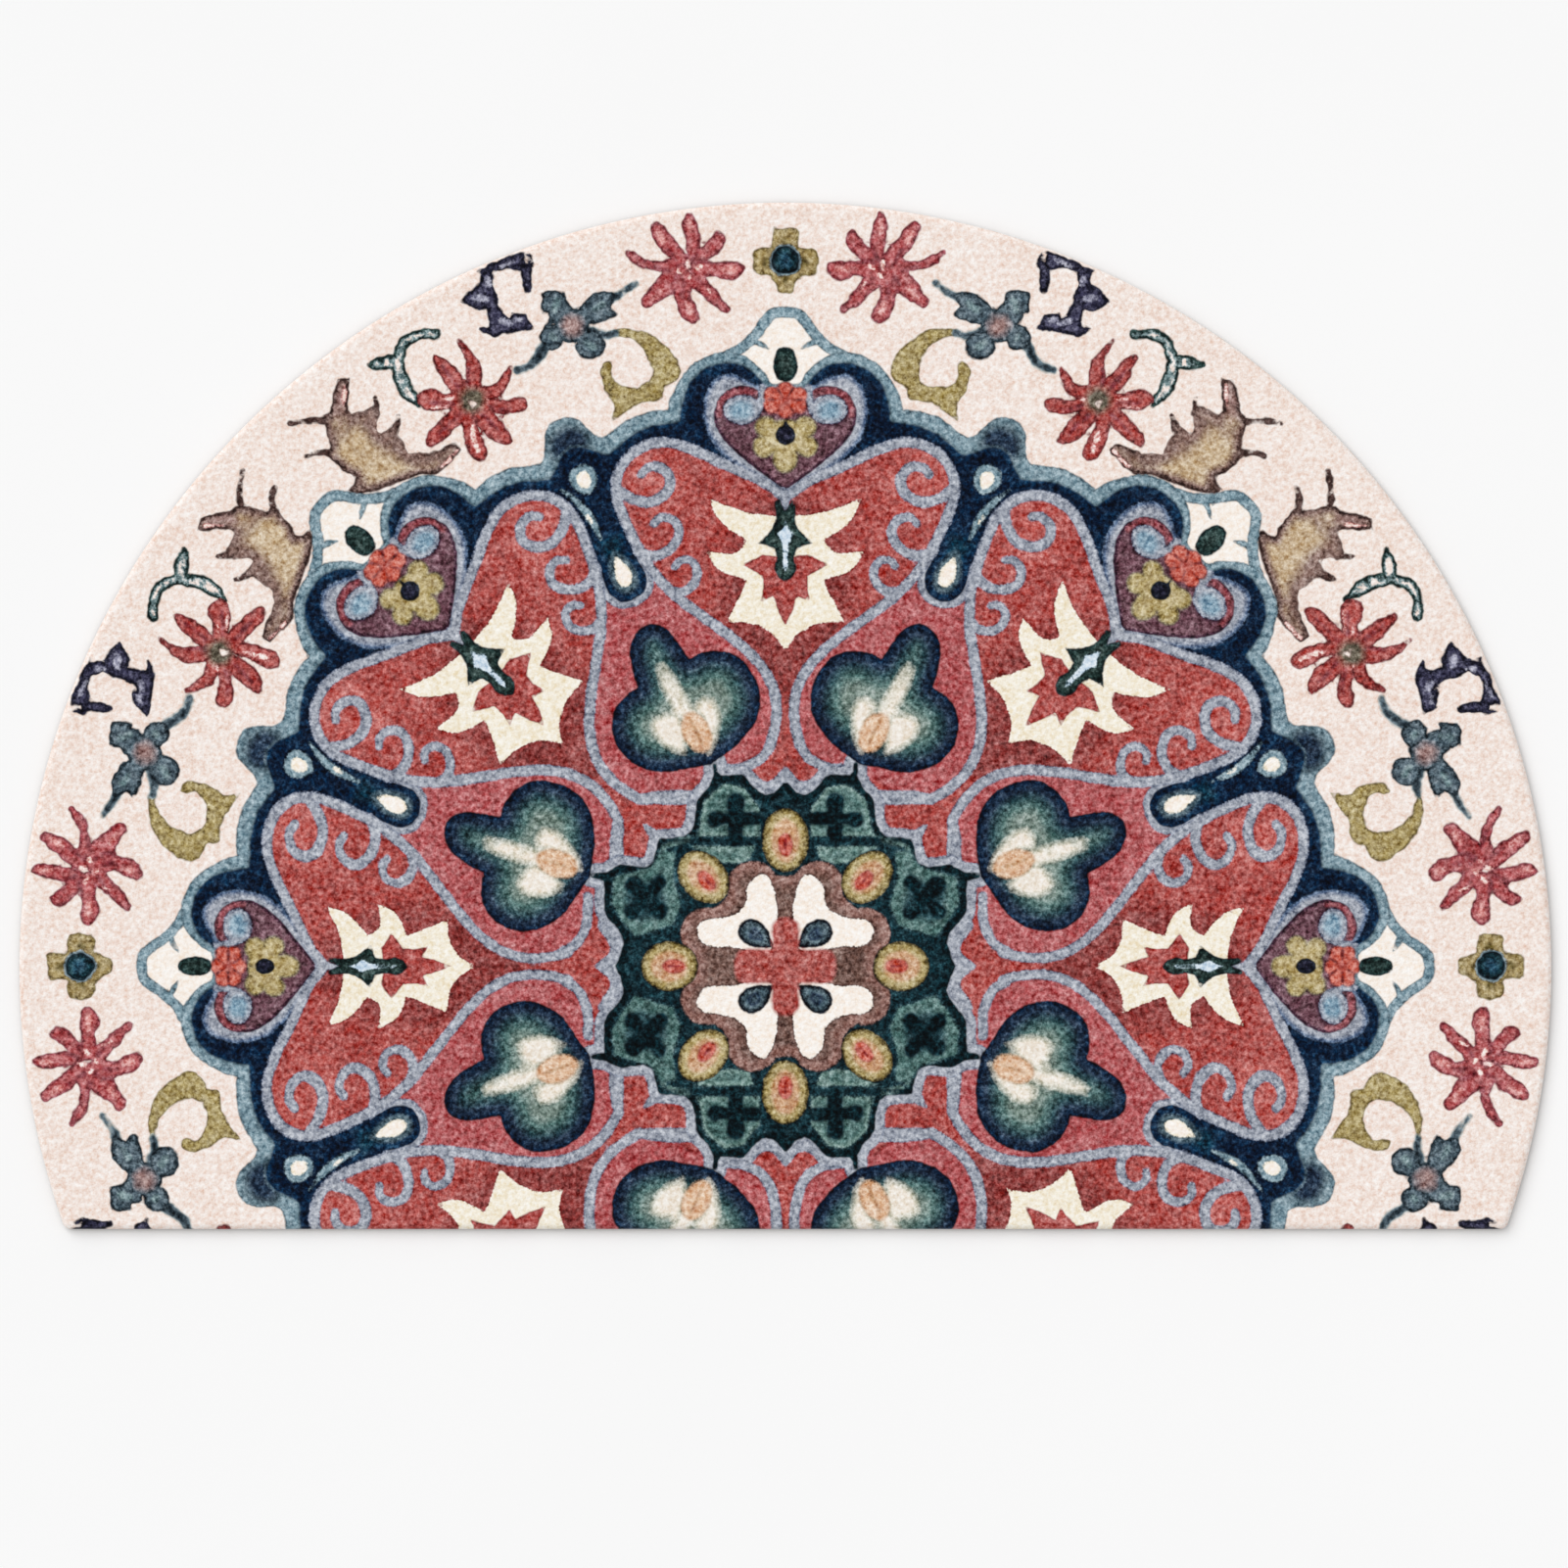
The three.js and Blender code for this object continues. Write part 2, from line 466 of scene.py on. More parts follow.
def squiggle():
    strokes = brush(
        [(206.3, 372.7, 3), (212.9, 373, 3), (219.5, 371.6, 3.2), (225.2, 367.6, 3.4), (227, 362.6, 3.2),
         (228.5, 358, 3.4)],
        [(229, 357, 3.8), (237.3, 356, 4.2), (242, 355, 2.8), (246.4, 354.9, 0.9)],
        [(228.7, 355, 3.8), (226.7, 346.3, 4.3), (222.8, 338.4, 4), (219, 334, 2.6), (216, 330.2, 1)],
        grow=0.3,
    )
    return [Dye("squiggle", "bottle 1.4 bottle 2.3 flower_pale 3.1 ground", strokes)]


def leaf():
    blade = [
        (257, 347), (263.7, 346), (266.4, 340), (268.6, 327), (272.2, 324.6), (271.4, 318),
        (268.6, 305.6), (272.9, 303.2), (267.6, 298.2), (258.4, 290.4), (253.8, 289.4), (254.4, 285),
        (258, 281), (253.8, 277.8), (240, 280.8), (225.4, 286.2), (215.5, 290), (206, 289.6),
        (199, 295.5), (191.2, 304), (194.2, 309.2), (203.6, 305.8), (210.2, 302.2), (222.6, 302.4),
        (224.6, 307), (229.4, 314), (227.6, 323.6), (229.4, 324.4), (233.3, 318.4), (238.8, 314),
        (240.8, 316), (240.9, 330), (241.9, 334), (244, 330.4), (255.6, 325.4), (257.8, 328),
    ]
    spikes = brush(
        [(270, 321.4, 2.1), (280, 322, 1.9), (292.4, 320.2, 1.6)],
        [(271, 302.8, 2.1), (277, 302.8, 1.8), (282.4, 301.2, 1.4)],
        [(241.4, 326, 2), (241.6, 331, 1.5), (242, 335.4, 0.9)],
        [(230.6, 317, 2.2), (229, 321, 1.7), (228.2, 324.8, 0.9)],
    )
    shade = brush([
        (266, 312, 3), (254, 322, 4), (244, 320, 6), (237, 311, 6), (227, 304, 5), (212, 299, 3),
        (200, 300, 3),
    ])
    horn = brush([(263.6, 322, 2), (263, 334, 2.2), (261.4, 341, 1.4)])
    streaks = brush(
        [(260, 342.4, 0.7), (260.2, 336, 0.9), (260.6, 331, 0.6)],
        [(193.6, 304.2, 0.7), (198, 299, 1), (203, 295, 0.6)],
    )
    return [
        Dye("leaf", "umber 1.4 umber 3 leaf_brown 7 leaf", patch(blade) + spikes),
        Dye("leaf_shade", "leaf_brown", shade, soft=4, within="leaf"),
        Dye("leaf_horn", "pink", horn, soft=1.6, within="leaf"),
        Dye("leaf_streaks", "rose_pale 0.9 ground", streaks),
    ]


# The medallion's outer band: a slate line with a navy field inside it


def gap_points(points):
    """Points charted beside the gap between two hearts, as points in the heart's fold."""
    c, s = cos_sin(GAP_TURN)
    return [(outward * s - across * c, outward * c + across * s) for across, outward in points]


def all_round(half):
    """An outline from a heart's axis to the gap, mirrored on as far as the next heart on either side."""
    across, outward = np.asarray(half, float).T
    beyond = np.stack([outward - across, outward + across], axis=1) / math.sqrt(2)
    return both_sides(np.vstack([half, beyond[::-1], [(0, 0)]]))


def spade_and_body():
    slate_valley, navy_valley = gap_points([(19.6, 329.4), (18.6, 319.2)])
    slate_edge = runs(
        [(0, 344), (8, 344), (12.5, 350.5), (20, 357.5), (28, 361.6), (38, 362.2), (48, 359.2),
         (56, 354.4), (62, 346.5), (66, 339.6), (68.4, 334), (69.6, 328.2)],
        [(75, 328), (82, 326.8), (92.6, 322.8), (102.3, 315.4), slate_valley],
        gap_points([(15.8, 333), (13.4, 338.5), (10.5, 344.5), (6, 348.6), (0, 349.6)]),
    )
    navy_edge = runs(
        [(0, 338), (9, 340), (12.4, 343.8), (18, 350.9), (27, 355.9), (37.4, 356.5), (48.8, 352.5),
         (57.4, 343.8), (61.6, 332), (62.8, 322)],
        [(69.4, 321), (80.6, 318.8), (92, 313.2), (100.4, 306), navy_valley],
        gap_points([(13, 324), (7, 329.6), (0, 332)]),
    )
    spade_line = brush([
        (-7, 385, 3.3), (0, 386, 3.3), (7, 385, 3.3), (12, 380.2, 3.3), (17.3, 372.8, 3.2),
        (26, 364.6, 3.2), (34, 360, 3.6),
    ])
    white = both_sides(runs(
        [(0, 383.4), (6.4, 382.2), (11.4, 376.2), (17.3, 368.6), (27.4, 359.6)],
        [(20, 355.4), (13.6, 348.6), (10.6, 342), (0, 338)],
    ))
    ticks = brush([(18, 368.6, 1.9), (13.5, 366.6, 1.5), (9.4, 364, 0.5)])
    gap_shade = patch(oval(0, 333.4, 14.4, 12.4), fold="gap")
    return [
        Dye("spade_white", "white", patch(white)),
        Dye("spade_line", "slate_dark 1.2 slate", spade_line + ticks),
        Dye("body", "slate_dark 1.5 slate 9 slate 16 slate_dark", patch(all_round(slate_edge))),
        Dye("gap_shade", "slate_dark 6 dusk", gap_shade, soft=3.6, within="body"),
        Dye("navy", "slate_dark 1.6 navy 5 navy_dark", patch(all_round(navy_edge)), soft=1),
    ]


def gap_details():
    """Between two lobes: a rose field, the navy channel that runs down into it, and its drops."""
    rose = both_sides([(0, 244), (20, 240), (62, 196), (60, 136), (40, 95), (0, 95)])
    cap = both_sides(smooth([(0, 229.6), (9, 232), (15, 239), (16.4, 248), (15.6, 262), (0, 266)]))
    channel = both_sides(smooth([
        (0, 233.8), (7, 235.8), (11.6, 242), (12.2, 250), (11.2, 262), (14, 276), (0, 280),
    ]))
    upper_drop = both_sides(smooth([(0, 319.8), (5.8, 318), (8.2, 312), (5.6, 305), (0, 301.2)]))
    upper_drop_inner = both_sides(smooth([(0, 315.8), (3, 314.4), (4.2, 310.8), (2.8, 306.8), (0, 304.8)]))
    lower_drop_glow = both_sides(smooth([(0, 265), (4.6, 259), (7.2, 250), (5.2, 241.4), (0, 238.8)]))
    lower_drop = both_sides(smooth([(0, 262), (2.6, 257), (4.8, 250), (3.2, 244), (0, 242)]))
    sliver = brush(
        [(132.2, 280.9, 0.6), (124.2, 274.9, 1.9), (117.4, 267.9, 2.5), (113.1, 261, 2.3),
         (108.7, 251.6, 0.9)],
        fold="border",
    )
    sliver_light = brush([(117.3, 266.4, 0.6), (115.6, 264, 1.1), (113.9, 261.4, 0.5)], fold="border")
    return [
        Dye("rose_field", "brick 8 rose", patch(rose)),
        Dye("channel_cap", "periwinkle_dark 1.6 periwinkle", patch(cap)),
        Dye("channel", "navy_dark 4 navy 9 deep_teal", patch(channel)),
        Dye("drop_rim", "slate_dark 1 slate", patch(upper_drop) + sliver),
        Dye("drop_glow", "slate_dark", patch(lower_drop_glow), soft=1.6, within="channel"),
        Dye("drops", "cream 2 white", patch(upper_drop_inner, lower_drop) + sliver_light),
    ]


# The hearts at the points of the medallion


def heart():
    outer = both_sides(smooth([
        (0, 336), (8, 338), (12, 341), (18, 344), (26.4, 348.2), (36, 350), (44.4, 344), (48.4, 333.8),
        (48.6, 322.6), (45, 311.4), (36, 300.2), (23.4, 290.4), (11, 281.4), (0, 270.6),
    ]))
    inner = both_sides(smooth([
        (0, 330), (12, 334), (15.6, 339.4), (22.3, 342.4), (31, 341.6), (38.4, 336.4), (42.1, 327.7),
        (41, 318.4), (34.2, 307.9), (20.3, 295.6), (8.4, 286.4), (0, 280.6),
    ]))
    crescent = brush([
        (17.6, 338.6, 1.2), (24, 339.4, 1.9), (31.6, 337.8, 2.2), (37.4, 332.6, 2.2), (39, 325, 1.4),
    ])
    eye_at = (26, 328)
    eye_rim = patch(oval(eye_at[0] - 0.6, eye_at[1] + 0.4, 11.2, 8.6))
    curl = brush([(13.5, 341, 2.4), (13.6, 334.4, 2.6), (16.6, 328.6, 2.8)])
    rosette_at = (0, 334)
    rosette = patch(oval(*rosette_at, 10.6, 9.6))
    rosette_lines = []
    for turn in range(0, 360, 60):
        c, s = cos_sin(turn)
        rosette += patch(oval(9.2 * s, 6.4 * c, 5.2, 4.8), at=rosette_at)
        c, s = cos_sin(turn + 30)
        rosette_lines += brush([(3.4 * s, 2.8 * c, 0.4), (9.4 * s, 8 * c, 0.9)], at=rosette_at)
    flower = patch(
        oval(0, 312, 14, 11), oval(0, 300.6, 7.8, 9.8), oval(11.6, 318.2, 7, 6.4),
        oval(12.8, 306.6, 6.8, 6.8),
    )
    dot = patch(oval(0, 313.2, 6, 6), fold="leaf") + brush([(0, 321.6, 0.9), (0, 317, 1.8)], fold="leaf")
    bud = both_sides(smooth([(0, 365.6), (4, 364.2), (6.8, 358.6), (6.9, 352), (4.6, 346.4), (0, 344.6)]))
    return [
        Dye("heart_band", "dusk 1.4 steel 4.4 periwinkle", patch(outer)),
        Dye("heart_field", "plum_dark 1.2 plum_dark 2.6 plum", patch(inner)),
        Dye("heart_crescent", "plum_red", crescent, soft=1.2, within="heart_field"),
        Dye("eye_shadow", "plum_dark", patch(oval(*eye_at, 11.8, 9.4)), soft=0.9),
        Dye("eye_rim", "periwinkle_dark 1.6 periwinkle", eye_rim + curl),
        Dye("eye", "sky", patch(oval(*eye_at, 7.6, 5.6)), soft=1.6),
        Dye("heart_flower", "moss 2 olive 4 olive_pale", flower, soft=0.8),
        Dye("rosette", "red_dark 1.6 coral 6 coral 9 dusty_red", rosette, soft=0.8),
        Dye("rosette_lines", "red_dark", rosette_lines),
        Dye("heart_dot", "ink 3 indigo_dark", dot),
        Dye("bud", "forest_dark 2 bottle 6 bottle_light", patch(bud, fold="leaf")),
    ]


# The red lobes, two to a heart, with scrolls, a star-shaped leaf between them and the tulips below


def lobes():
    edge = [
        (0, 276.5), (13.3, 286), (26.2, 291.8), (40.5, 298.2), (54.8, 304.9), (71.9, 309.2),
        (87.7, 304.4), (97.7, 292.8), (99.8, 278.5), (94.8, 263.6), (87.7, 248.4), (79.1, 234.1),
        (66.2, 219.8), (49, 206.6), (31.9, 194.1), (17.6, 181.2), (9, 168.4), (5.4, 155.5), (5.8, 142.6),
        (8.6, 130.6),
    ]
    border_end = [
        (8.6, 130.6, 3.2), (13, 123.6, 3), (19, 119.6, 3), (25, 117.2, 3), (32, 116.4, 3), (41, 116.6, 3),
    ]
    diagonal_end = [(8.6, 130.6, 3.2), (16.6, 124, 4), (25, 115.8, 4.4), (33, 108, 4)]
    tip = [(0, 279, 3.2), (0, 273, 2.4), (0, 268, 0.9)]
    half_width = 3.2
    lines = brush([(*point, half_width) for point in edge], tip)
    lines += brush(border_end, fold="border") + brush(diagonal_end, fold="diagonal")
    field = both_sides(np.vstack([smooth(edge), [(30, 118), (42, 117), (36, 88), (0, 80)]]))
    scrolls = [
        [(98.4, 281, 3), (89.1, 275.2, 3.1), (79.1, 274, 3.1), (70.8, 279, 3.1), (67.9, 287, 3),
         (72.6, 293.8, 2.9), (80.6, 294.4, 2.6), (85, 290.2, 2.4)],
        [(87, 245, 3), (80, 242.2, 2.9), (72.4, 243.4, 2.9), (65.5, 248.8, 2.8), (62.6, 256.6, 2.7),
         (66.4, 263.2, 2.6), (73.4, 264.9, 2.4), (77.8, 261, 2.2)],
        [(66, 221, 2.8), (60.4, 220.8, 2.7), (54.6, 225, 2.6), (51.9, 232, 2.5), (54.8, 238.6, 2.4),
         (61.2, 239.6, 2.3), (65, 236, 2.1)],
    ]
    lines += brush(*scrolls, grow=0.2)
    glow = oval(76, 284, 24, 28, turn=20)
    shade = oval(0, 218, 46, 70)
    return [
        Dye("lobe_field", "brick_dark 4.4 brick", patch(field)),
        Dye("lobe_glow", "brick 12 brick_pale", patch(glow), soft=5.5, within="lobe_field"),
        Dye("lobe_shade", "brick 14 brick_deep", patch(shade), soft=5.5, within="lobe_field"),
        Dye("lobe_lines", "periwinkle_dark 1.4 periwinkle", lines),
    ]


def star_leaf():
    star = both_sides(runs(
        [(0, 266.6), (6.9, 266.3), (24.7, 268.8), (45.5, 276.6)],
        [(40.5, 264.8), (32.6, 257.2), (23.3, 251.3)],
        [(26.2, 247), (32, 244), (46.9, 245)],
        [(41.9, 236), (34.7, 231.3), (23.3, 227.7)],
        [(26.4, 220), (35.6, 202.6)],
        [(23.6, 202.2), (14.7, 199.8), (6.2, 194.2), (0, 184.6)],
    ))
    opening = both_sides([
        (0, 250), (3.3, 241.6), (13.3, 243), (25, 237), (13.3, 229.9), (12.9, 222.7), (14.6, 215.2),
        (7, 218.4), (4.2, 209.4), (0, 200.6),
    ])
    ornament = both_sides(runs(
        [(0, 268.4), (3.6, 275.6)],
        [(6.4, 274)],
        [(5.8, 264), (8.6, 257), (16, 249.4)],
        [(11, 248), (6.6, 246.6)],
        [(5.2, 240), (6.6, 234.6), (4, 229.4), (0, 226.8)],
    ))
    jewel = both_sides([(0, 263.4), (1.8, 258.6), (5, 254.8), (2, 249), (1.3, 241), (1.6, 236), (0, 232.6)])
    return [
        Dye("star_leaf", "brick_dark 0.9 cream", patch(star)),
        Dye("star_opening", "brick_dark 1.4 brick", patch(opening)),
        Dye("ornament", "ink 1.6 bottle 4 bottle_light", patch(ornament)),
        Dye("jewel", "slate 0.6 ice", patch(jewel)),
    ]


def tulip():
    bloom = runs(
        [(17, 189), (15.4, 197), (13, 207), (9, 213.6), (2.6, 217.2), (-6, 215.4), (-13.4, 207.5),
         (-16.6, 195), (-17.6, 185.4)],
        [(-24, 184.2), (-33.6, 179.7), (-40.5, 170), (-42, 157), (-36.6, 143.9), (-23.5, 133.4),
         (-8, 129.5), (5, 126.6)],
        [(14, 128.8), (26, 132.4), (39.5, 140.4), (46.8, 151.4), (48.6, 162), (47.2, 172.4),
         (43.4, 180.6), (35.6, 186.8), (25, 190), (17, 189)],
    )
    tones = "night 1.6 navy_dark 6 dusk 10.5 teal 15 panel 20 sage"
    light = brush([(2.6, 160, 4), (1, 175, 4.4), (0.4, 182, 3.8), (-0.3, 191, 2.2)])
    light += patch(
        [(-1, 161), (-9.7, 164), (-17, 164), (-19, 158), (-17.4, 150.6), (-14, 145), (-7, 138.6),
         (-3, 148)],
        [(8.5, 161), (14, 165), (20, 163), (21, 155), (18, 147), (13, 139), (6.5, 133.6), (11, 146),
         (11, 154)],
    )
    kernel = oval(4.4, 147.6, 8.2, 12.6, turn=-4)
    vein = brush([(3.8, 156, 0.4), (4.4, 147, 0.8), (4.8, 139, 0.4)])
    return [
        Dye("tulip", tones, patch(bloom)),
        Dye("tulip_light", "cream 3 linen", light, soft=2.4, within="tulip"),
        Dye("kernel", "tan 2.4 kernel", patch(kernel), soft=1),
        Dye("kernel_vein", "tan_dark", vein, soft=0.8),
    ]


# The middle: a dark star with crosses, a brown rosette with eight eyes, and a red cross


STAR = four_sides([
    (0, 110.2), (3, 106.6), (6.6, 102.6), (11.5, 101.2), (15.7, 103.2), (19.8, 107.3), (23.6, 112),
    (26, 113.2), (38, 112.6), (39.8, 115.2), (40.4, 120.4), (43, 120), (42.6, 112), (45.6, 105.4),
    (50, 101.2), (52.6, 97), (53.4, 86), (55.6, 79.8), (60, 76.2), (74.8, 75.2), (75.6, 71.4), (78, 61),
    (84, 58.4), (97.8, 60), (105.8, 55.6), (114.8, 55), (114.8, 52.2), (107, 50.6), (107, 33),
    (104.8, 28.8), (97, 19.4), (95.4, 13.6), (98, 5.4), (100.6, 0),
])


def star_rim():
    rim_width = 5.6
    rim = patch(STAR, grow=rim_width)
    lobe = [
        (24, 114, 2.4), (19.4, 110.4, 3), (15.4, 107.2, 3.2), (10.8, 105.8, 3.2), (5.6, 107.6, 3),
        (2, 112.4, 2.6), (0, 117.6, 0.9),
    ]
    side_lobe = [(outward - rim_width, across, half_width) for across, outward, half_width in lobe]
    wedge = brush([(0, 106, 4), (0, 113, 2.4), (0, 117.6, 0.9)], fold="diagonal")
    return [Dye("star_rim", "periwinkle_dark 1.4 periwinkle", rim + brush(lobe, side_lobe) + wedge)]


def middle_star():
    panels = patch(
        [(36.3, 108.2), (24, 106.2), (18.6, 98), (14.6, 94), (14.6, 76.2), (53.4, 76.2), (50.8, 83),
         (48.8, 97), (44.8, 101.4)],
        [(17, 71.4), (57, 71.4), (48, 65.6), (40, 61), (30, 60), (21, 62)],
    )
    panels += patch(
        [(0, 102.4), (5, 100.8), (10, 98), (15, 93.4), (12, 90.4), (6, 94.6), (0, 98.2)], fold="diagonal",
    )
    side_panel = [
        (101.6, 53), (103, 37), (96.6, 26.6), (89, 16.6), (80, 19.6), (66, 24), (61, 36), (66, 53),
        (64, 68), (73, 69), (80, 59),
    ]
    cross = brush(
        [(0, 10, 5.6), (0, 5, 4.9), (0, 0, 4.6), (0, -12, 5)],
        [(11.8, -0.4, 5.1), (6, 0, 3.4), (0, 0, 4), (-12, 0.4, 4.4)],
        at=(29.4, 87), fold="sector",
    )
    chord = brush([(4, 73.8, 1.6), (30, 73.8, 1.6), (72, 73.8, 1.6)])
    return [
        Dye("middle_star", "forest_dark 3.4 forest_dark 5 forest", patch(STAR)),
        Dye("star_panel", "teal 1.6 panel_pale 4 panel", panels, soft=0.9),
        Dye("side_panel", "teal 1.6 panel 5.4 panel 10 teal 16 forest", patch(side_panel), soft=0.9),
        Dye("star_cross", "forest 1.6 forest_dark", cross + chord, soft=0.9),
    ]


def rosette_and_cross():
    brown = patch(oval(0, 51, 15.4, 15), oval(0, 26, 32, 30), fold="gap")
    eyes = []
    cores = []
    core_lines = []
    eyes_at = [(0, 74.4, 14.2, 19.2), (42.6, 71.4, 13.6, 17.6), (90, 68.4, 15, 17)]
    for turn, distance, half_width, half_length in eyes_at:
        c, s = cos_sin(turn)
        inner = distance - 2.8
        eyes += patch(oval(distance * s, distance * c, half_width, half_length, turn))
        cores += patch(oval(inner * s, inner * c, 4.4, 7, turn))
        core_lines += brush([((inner + step) * s, (inner + step) * c, 0.7) for step in (3, -3)])
    wings = smooth([
        (14.2, 54.9), (20.4, 50.6), (23.2, 45), (23.4, 38), (27.6, 32.6), (37, 29), (46.6, 28),
        (51.2, 24.8), (52.4, 20.2), (49.4, 14), (43.2, 11.2), (33, 11.2), (20, 9), (9, 9), (5, 20),
        (4.2, 29), (4.6, 37), (6.4, 45.8), (9.8, 52.4),
    ], closed=True)
    dot = smooth([
        (28, 20), (25.5, 26), (20.6, 28), (14.6, 26), (10.4, 21.6), (8.2, 15.6), (7, 11.6), (12.6, 10.8),
        (20.3, 11.7), (25.6, 14.8),
    ], closed=True)
    arms = [
        [(0, 28.9), (4.4, 28.2), (7.6, 25.4), (8.3, 21), (7.4, 10), (7.4, 0)],
        [(0, 10), (22, 10.2), (27.4, 8.8), (29.8, 4.4), (29.8, 0)],
    ]
    return [
        Dye("rosette_brown", "brown_dark 1.2 clay 4 clay 9 brown", brown),
        Dye("eye_petal", "ink 1.2 olive_dark 2.8 olive 4.8 olive_pale 7 tan", eyes),
        Dye("eye_core", "brick 1.4 coral", cores, soft=0.8),
        Dye("eye_line", "brick_dark", core_lines),
        Dye("wings", "brown_dark 0.9 white", patch(wings)),
        Dye("wing_dot", "night 1.4 ink 3.4 slate_dark 5 dusk 8 slate_dark", patch(dot)),
        Dye("red_cross", "brick 3 dusty_red", patch(*map(four_sides, arms)), soft=1.2),
    ]


DYES = [
    *charted("border", square_flower, leaf, squiggle, daisies, bracket, hook, slate_flower),
    *charted("heart", spade_and_body),
    *charted("gap", gap_details),
    *charted("heart", heart, lobes),
    *charted("leaf", star_leaf),
    *charted("quadrant", star_rim),
    *charted("tulip", tulip),
    *charted("quadrant", middle_star, rosette_and_cross),
]


# The mat's mesh


def outline_at(inset):
    """Points round the mat's outline drawn in by an inset, anticlockwise from the right-hand corner."""
    radius = RADIUS - inset
    corner_radius = CORNER_RADIUS - inset
    corner_y = STRAIGHT_Y + CORNER_RADIUS
    corner_x = math.sqrt((RADIUS - CORNER_RADIUS) ** 2 - (corner_y - CENTRE_Y) ** 2)
    tangent = math.atan2(corner_y - CENTRE_Y, corner_x)
    round_steps = round((math.pi - 2 * tangent) * RADIUS / EDGE_PITCH)
    straight_steps = round(2 * corner_x / EDGE_PITCH)

    def arc(x, y, r, start, end, steps):
        angle = np.linspace(start, end, steps, endpoint=False)
        return np.stack([x + r * np.cos(angle), y + r * np.sin(angle)], axis=1)

    y = STRAIGHT_Y + inset
    straight = np.linspace((-corner_x, y), (corner_x, y), straight_steps, endpoint=False)
    return np.vstack([
        arc(0, CENTRE_Y, radius, tangent, math.pi - tangent, round_steps),
        arc(-corner_x, corner_y, corner_radius, math.pi - tangent, 1.5 * math.pi, CORNER_STEPS),
        straight,
        arc(corner_x, corner_y, corner_radius, -0.5 * math.pi, tangent, CORNER_STEPS),
    ])


def lattice(pitch):
    """A triangular lattice over the mat and a little beyond, as points and their rows and columns."""
    rows = int(DEPTH / (pitch * math.sqrt(0.75))) + 2
    columns = int(WIDTH / pitch) + rows // 2 + 4
    row, column = np.mgrid[0:rows, -(rows // 2) - 2:columns]
    row, column = row.ravel(), column.ravel()
    x = LOW[0] / MM + pitch * (column + row / 2)
    y = STRAIGHT_Y + pitch * math.sqrt(0.75) * row
    return np.stack([x, y], axis=1), row, column


def well_inside(points, margin):
    """Whether each point lies further than a margin inside the outline."""
    from_centre = np.hypot(points[:, 0], points[:, 1] - CENTRE_Y)
    return (from_centre < RADIUS - margin) & (points[:, 1] > STRAIGHT_Y + margin)


def nearest_edge(points):
    """How far each point lies from the nearest crisp edge of a dye."""
    folds = folded(points)
    return np.min([np.abs(dye_field(folds, dye)) for dye in DYES if dye.soft < SOFT_EDGE], axis=0)


def surface_points():
    """Points over the pile's face, close together along the edges of the dyes."""
    points, row, column = lattice(FINE_PITCH)
    kept = well_inside(points, ROLL_INSET + FINE_PITCH)
    points, row, column = points[kept], row[kept], column[kept]
    gap = nearest_edge(points)
    middle = (row % 2 == 0) & (column % 2 == 0) & (gap < MIDDLE_BAND)
    coarse = (row % 4 == 0) & (column % 4 == 0)
    return points[(gap < FINE_BAND) | middle | coarse]


def triangulate(ring, inner):
    """Triangles over a ring of points and the points inside it."""
    points = np.vstack([ring, inner])
    edges = [(i, (i + 1) % len(ring)) for i in range(len(ring))]
    inside_only, tolerance = 1, 1e-5
    out = delaunay_2d_cdt([Vector(p) for p in points], edges, [], inside_only, tolerance)
    assert len(out[0]) == len(points)
    order = [sources[0] for sources in out[3]]
    return [tuple(order[i] for i in face) for face in out[2]]


def nap(points):
    """The unevenness of the pile's face, in millimetres."""
    return np.asarray([
        sum(height * noise.noise(Vector((x / size, y / size, layer))) for size, height, layer in NAP)
        for x, y in points
    ])


def point_zones(plan, fields):
    """The zone of the print that each point lies in: 0 in the border, then rising towards the middle."""
    medallion = np.max([fields[name] for name in ("spade_white", "spade_line", "body")], axis=0)
    from_centre = np.hypot(plan[:, 0], plan[:, 1] - CENTRE_Y)
    ring = 1 + np.sum([from_centre < radius for radius in ZONE_RADII], axis=0)
    return np.where(medallion < -REACH, 0, ring)


def bake_layout(mesh, points, faces, kinds, sides):
    """A flat layout for baking: the pile across the full width, the underside and the cut side below it."""
    place = points[np.concatenate(faces)]
    kind = np.repeat(kinds, [len(face) for face in faces])
    plan = (place[:, :2] - (-WIDTH / 2, STRAIGHT_Y)) / WIDTH
    under = kind == UNDERSIDE
    wall = kind == CUT_SIDE
    uv = PILE_CORNER + PILE_WIDTH * plan
    uv[under] = UNDER_CORNER + UNDER_WIDTH * plan[under]
    uv[wall] = SIDE_CORNER + np.stack([SIDE_WIDTH * sides, SIDE_RISE * place[wall, 2]], axis=1)
    mesh.uv_layers.new(name="OFBake").data.foreach_set("uv", uv.ravel())


